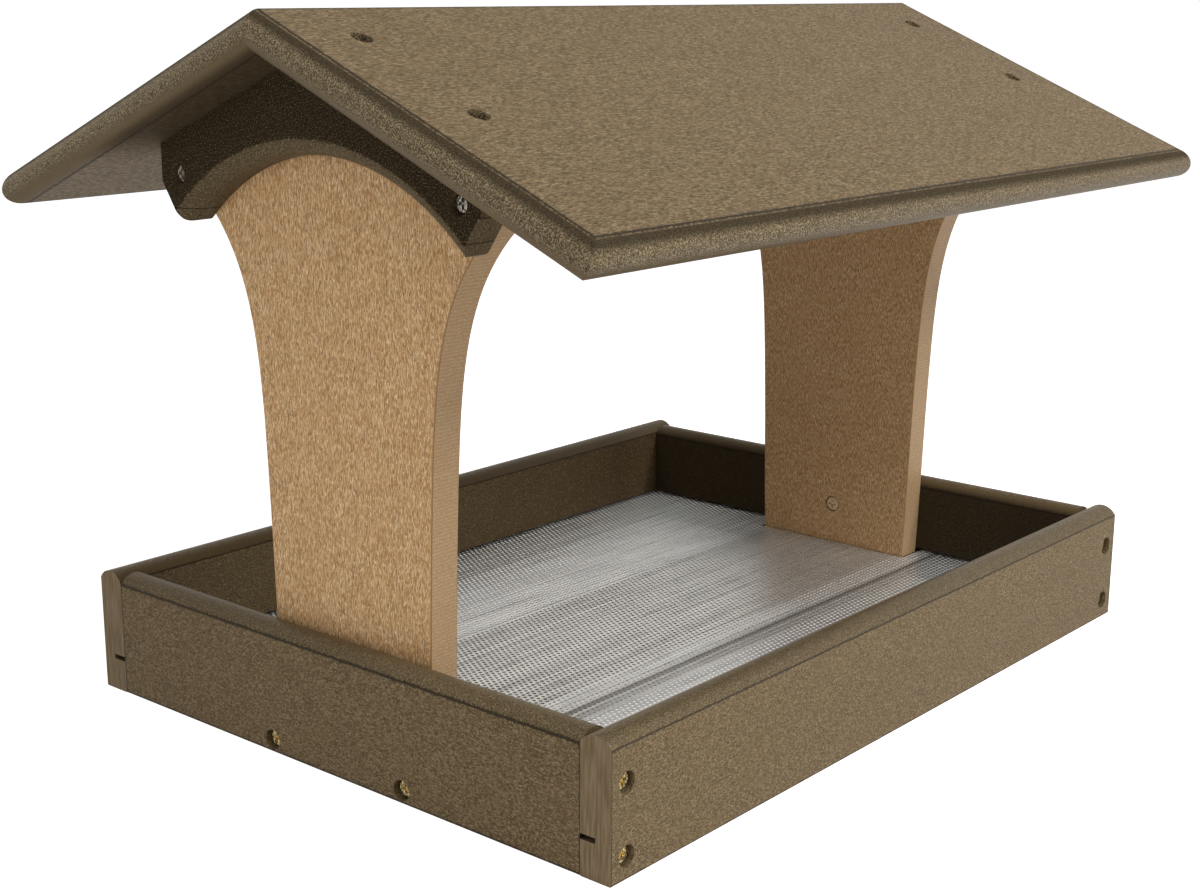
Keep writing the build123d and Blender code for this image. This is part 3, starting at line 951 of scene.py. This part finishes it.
class FEEDER_OT_screws(bpy.types.Operator):
    """Finish the screws: yellow zinc in the tray, bright zinc in the roof, painted in the uprights"""

    bl_idname = "feeder.screws"
    bl_label = "Screws"

    def execute(self, context):
        settings = context.scene.feeder_screws
        finishes = {
            "yellow_screw": self.zinc("yellow_zinc", settings.yellow, settings),
            "bright_screw": self.zinc("bright_zinc", settings.bright, settings),
            "tan_screw": self.paint("painted_screw", settings),
        }
        for piece in frame["record"]["subparts"]:
            if piece["material_slot"] in finishes:
                finish_node(piece["node"], finishes[piece["material_slot"]])
        return {"FINISHED"}

    def zinc(self, name, colour, settings):
        """Zinc plate: bright metal with small dull patches, and a fine relief that glints."""
        material, graph, shader = new_material(name)
        clouds = graph.noise(graph.place(), DULL_ZINC)
        dull = graph.step(clouds, DULL_ZINC.low, DULL_ZINC.high)
        dull_colour = (*(settings.dull_share * part for part in colour[:3]), 1.0)
        relief = graph.bump(clouds, settings.relief_depth, settings.bump)
        rough = graph.mix_value(dull, settings.roughness, settings.dull_roughness)
        graph.feed_all(shader, {"Base Color": graph.mix_colour(dull, colour, dull_colour), "Metallic": 1.0,
                                "Normal": relief, "Roughness": rough})
        return material

    def paint(self, name, settings):
        """Paint over a screw head, chipped to the metal in small spots."""
        material, graph, shader = new_material(name)
        chips = graph.spots(graph.place(), PAINT_CHIPS)
        shade = graph.mix_colour(chips, settings.painted, settings.chipped)
        graph.feed_all(shader, {"Base Color": shade, "Metallic": chips,
                                "Roughness": settings.dull_roughness})
        return material


class FEEDER_OT_stage(bpy.types.Operator):
    """Set the pale floor, the soft light and the camera"""

    bl_idname = "feeder.stage"
    bl_label = "Floor, Light and Camera"

    # The floor's reach each way and its drop below the feeder, how white it looks near and how strongly it
    # shows in metal, and the distances between which it turns fully white
    floor_reach = 30.0
    floor_drop = 0.1 * MILLIMETRE
    floor_white = 0.86
    floor_in_metal = 0.5
    whitening = (1.0, 4.0)

    # The heights of a direction between which the surroundings dim as they light and as metal shows them,
    # and how strongly metal shows them straight above
    light_heights = (0.0, 0.35)
    metal_heights = (0.3, 0.85)
    overhead_in_metal = 0.3

    def execute(self, context):
        settings = context.scene.feeder_stage
        self.floor(context, settings)
        self.surround(context, settings)
        for word, place in LAMPS.items():
            self.lamp(context, f"{word}_light", place, getattr(settings, f"{word}_power"))
        self.camera(context, settings)
        context.scene.view_settings.view_transform = "Standard"
        return {"FINISHED"}

    def floor(self, context, settings):
        """A wide flat sheet that only shadows darken. Far off it is as white as the surroundings."""
        corners = np.array([(-1, -1), (1, -1), (1, 1), (-1, 1)]) * self.floor_reach
        points = np.column_stack([corners, np.full(len(corners), -self.floor_drop)])
        mesh = bpy.data.meshes.new("floor")
        mesh.from_pydata(points.tolist(), [], [(0, 1, 2, 3)])
        material, graph = node_material("pale_floor")
        diffuse = graph.node("ShaderNodeBsdfDiffuse")
        graph.feed(diffuse.inputs["Color"], settings.floor)
        path = graph.node("ShaderNodeLightPath").outputs
        glow = graph.node("ShaderNodeEmission")
        seen = graph.math("MAXIMUM", path["Is Camera Ray"], path["Is Transmission Ray"])
        white = graph.step(graph.vector("LENGTH", graph.place()), *self.whitening, self.floor_white, 1.0)
        strength = graph.mix_value(path["Is Glossy Ray"], graph.times(seen, white), self.floor_in_metal)
        graph.feed(glow.inputs["Strength"], strength)
        graph.feed(glow.inputs["Color"], graph.mix_colour(path["Is Glossy Ray"], WHITE, settings.shine))
        both = graph.node("ShaderNodeAddShader")
        graph.feed(both.inputs[0], diffuse.outputs[0])
        graph.feed(both.inputs[1], glow.outputs[0])
        graph.show(both)
        mesh.materials.append(material)
        linked_object(context, "floor", mesh)

    def surround(self, context, settings):
        """Even light from all round. The camera sees white, and metal sees the shine's colour, dim above."""
        world = bpy.data.worlds.new("studio")
        world.use_nodes = True
        context.scene.world = world
        graph = Graph(world.node_tree)
        path = graph.node("ShaderNodeLightPath").outputs
        height = graph.split(graph.node("ShaderNodeTexCoord").outputs["Generated"])[2]
        seen_in_metal = graph.step(height, *self.metal_heights, 1.0, self.overhead_in_metal)
        soft = graph.step(height, *self.light_heights, settings.horizon, settings.overhead)
        strength = graph.mix_value(path["Is Glossy Ray"], soft, seen_in_metal)
        strength = graph.mix_value(path["Is Transmission Ray"], strength, 1.0)
        strength = graph.mix_value(path["Is Camera Ray"], strength, 1.0)
        light = graph.node("ShaderNodeBackground")
        graph.feed(light.inputs["Strength"], strength)
        graph.feed(light.inputs["Color"], graph.mix_colour(path["Is Glossy Ray"], WHITE, settings.shine))
        graph.show(light, "ShaderNodeOutputWorld")

    def lamp(self, context, name, place, power):
        """A square area light that looks at the middle of the feeder."""
        data = bpy.data.lights.new(name, "AREA")
        data.energy = power
        data.size = context.scene.feeder_stage.lamp_width
        lamp = linked_object(context, name, data)
        middle = (CAD_BOX[0] + CAD_BOX[1]) / 2
        lamp.location = place
        lamp.rotation_euler = (middle - lamp.location).to_track_quat("-Z", "Y").to_euler()

    def camera(self, context, settings):
        """The camera, from its place, its two angles and its roll."""
        data = bpy.data.cameras.new("camera")
        data.lens = settings.lens
        azimuth, elevation, roll = settings.azimuth, settings.elevation, settings.roll
        back = Vector((
            math.sin(azimuth) * math.cos(elevation),
            -math.cos(azimuth) * math.cos(elevation),
            math.sin(elevation),
        ))
        right = UP.cross(back).normalized()
        above = back.cross(right)
        rolled_right = math.cos(roll) * right + math.sin(roll) * above
        rolled_above = math.cos(roll) * above - math.sin(roll) * right
        turn = Matrix((rolled_right, rolled_above, back)).transposed()
        camera = linked_object(context, "camera", data)
        camera.matrix_world = Matrix.Translation(settings.camera_place) @ turn.to_4x4()
        context.scene.camera = camera


OPERATORS = (
    FEEDER_OT_brown_boards,
    FEEDER_OT_tan_boards,
    FEEDER_OT_seed_screen,
    FEEDER_OT_screws,
    FEEDER_OT_stage,
)

SETTINGS = {
    "feeder_brown": FeederBrownBoard,
    "feeder_tan": FeederTanBoard,
    "feeder_screen": FeederScreen,
    "feeder_screws": FeederScrews,
    "feeder_stage": FeederStage,
}


def setting_names(settings):
    """The names of a property group's settings, the shared ones among them."""
    return [name for kind in settings.__mro__ for name in vars(kind).get("__annotations__", {})]


class FEEDER_PT_sidebar(bpy.types.Panel):
    """The feeder's settings and its steps, in the order in which they are run"""

    bl_idname = "FEEDER_PT_sidebar"
    bl_label = "Bird Feeder"
    bl_space_type = "VIEW_3D"
    bl_region_type = "UI"
    bl_category = "Feeder"

    def draw(self, context):
        layout = self.layout
        for operator, (place, settings) in zip(OPERATORS, SETTINGS.items()):
            box = layout.box()
            box.operator(operator.bl_idname)
            for name in setting_names(settings):
                box.prop(getattr(context.scene, place), name)


def register():
    for place, settings in SETTINGS.items():
        bpy.utils.register_class(settings)
        setattr(bpy.types.Scene, place, PointerProperty(type=settings))
    for operator in OPERATORS:
        bpy.utils.register_class(operator)
    bpy.utils.register_class(FEEDER_PT_sidebar)


def unregister():
    bpy.utils.unregister_class(FEEDER_PT_sidebar)
    for operator in reversed(OPERATORS):
        bpy.utils.unregister_class(operator)
    for place, settings in reversed(SETTINGS.items()):
        delattr(bpy.types.Scene, place)
        bpy.utils.unregister_class(settings)


def main():
    """Registers the classes and runs each step in order."""
    register()
    bpy.ops.feeder.brown_boards()
    bpy.ops.feeder.tan_boards()
    bpy.ops.feeder.seed_screen()
    bpy.ops.feeder.screws()
    bpy.ops.feeder.stage()


if __name__ == "__main__":
    main()
